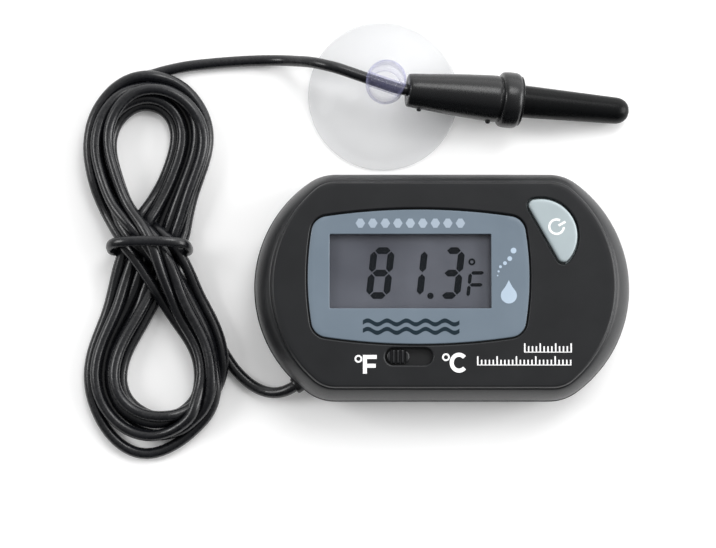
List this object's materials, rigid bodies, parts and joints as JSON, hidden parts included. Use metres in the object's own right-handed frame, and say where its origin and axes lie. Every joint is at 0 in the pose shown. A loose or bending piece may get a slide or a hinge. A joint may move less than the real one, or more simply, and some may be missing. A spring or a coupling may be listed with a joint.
{
  "type": "digital aquarium thermometer",
  "caption": "Digital aquarium thermometer: display head with push button, unit switch and battery door, wired probe on a hanked lead, and a clear suction cup.",
  "frame": {"origin": "centre of the head's flat back face", "axes": "+X to the right of the display, +Y up the display, +Z out of the front, away from what the head rests on"},
  "size_m": [0.0892, 0.072, 0.0134],
  "materials": {
    "head_plastic": "satin black moulding",
    "fascia_plastic": "satin blue-grey",
    "clear_lens": "clear acrylic",
    "white_plastic": "satin",
    "lcd_glass": "polished glass",
    "polariser": "matt film",
    "reflector": "silvered film",
    "zebra_rubber": "striped elastomer",
    "board_laminate": "green solder resist",
    "epoxy": "cured epoxy",
    "ceramic_tan": "fired ceramic",
    "ceramic_black": "glazed ceramic",
    "plated_steel": "nickel plated",
    "contact_brass": "plated spring strip",
    "switch_plastic": "satin black",
    "button_plastic": "satin pale blue-grey",
    "silicone": "translucent silicone",
    "carbon": "carbon loaded rubber",
    "lead_pvc": "glossy black PVC",
    "core_wire": "insulated core",
    "clamp_plastic": "satin",
    "probe_plastic": "semi-gloss black",
    "cup_pvc": "clear soft PVC"
  },
  "bodies": {
    "root": {"front_shell": "head_plastic", "rear_shell": "head_plastic", "fascia_plate": "fascia_plastic", "display_lens": "clear_lens", "display_frame": "white_plastic", "lcd_front_glass": "lcd_glass", "lcd_rear_glass": "lcd_glass", "lcd_front_polariser": "polariser", "lcd_reflector": "reflector", "zebra_strip": "zebra_rubber", "circuit_board": "board_laminate", "controller_blob": "epoxy", "thermistor_bead": "epoxy", "probe_potting": "epoxy", "chip_capacitors": "ceramic_tan", "chip_resistors": "ceramic_black", "timing_crystal": "plated_steel", "switch_housing": "plated_steel", "button_cell_a": "plated_steel", "button_cell_b": "plated_steel", "housing_screws": "plated_steel", "board_screws": "plated_steel", "thermistor_legs": "plated_steel", "positive_contact": "contact_brass", "negative_contact": "contact_brass", "button_dome": "silicone", "lead_from_head": "lead_pvc", "lead_hank": "lead_pvc", "lead_to_probe": "lead_pvc", "hank_tie": "lead_pvc", "cable_grommet": "lead_pvc", "lead_wires": "core_wire", "cable_clamp": "clamp_plastic", "probe_sleeve": "probe_plastic", "probe_tube": "probe_plastic"},
    "power_button": {"power_button": "button_plastic", "carbon_pill": "carbon"},
    "unit_switch": {"switch_knob": "switch_plastic", "switch_wiper": "contact_brass"},
    "battery_door": {"battery_door": "head_plastic", "door_contact": "contact_brass"},
    "suction_cup": {"suction_cup": "cup_pvc"}
  },
  "joints": [
    {"name": "power_button_press", "type": "slide", "parent": "root", "child": "power_button", "axis": [0, 0, -1], "range_m": [0, 0.0006], "stiffness_N_per_m": 1500, "springref_m": -0.0002, "deforming": ["button_dome"]},
    {"name": "unit_switch_slide", "type": "slide", "parent": "root", "child": "unit_switch", "axis": [1, 0, 0], "range_m": [0, 0.0033]},
    {"name": "battery_door_slide", "type": "slide", "parent": "root", "child": "battery_door", "axis": [0, -1, 0], "range_m": [0, 0.0155]},
    {"name": "suction_cup_slide", "type": "slide", "parent": "root", "child": "suction_cup", "axis": [-0.9455, 0.3256, 0], "range_m": [0, 0.0045]}
  ]
}
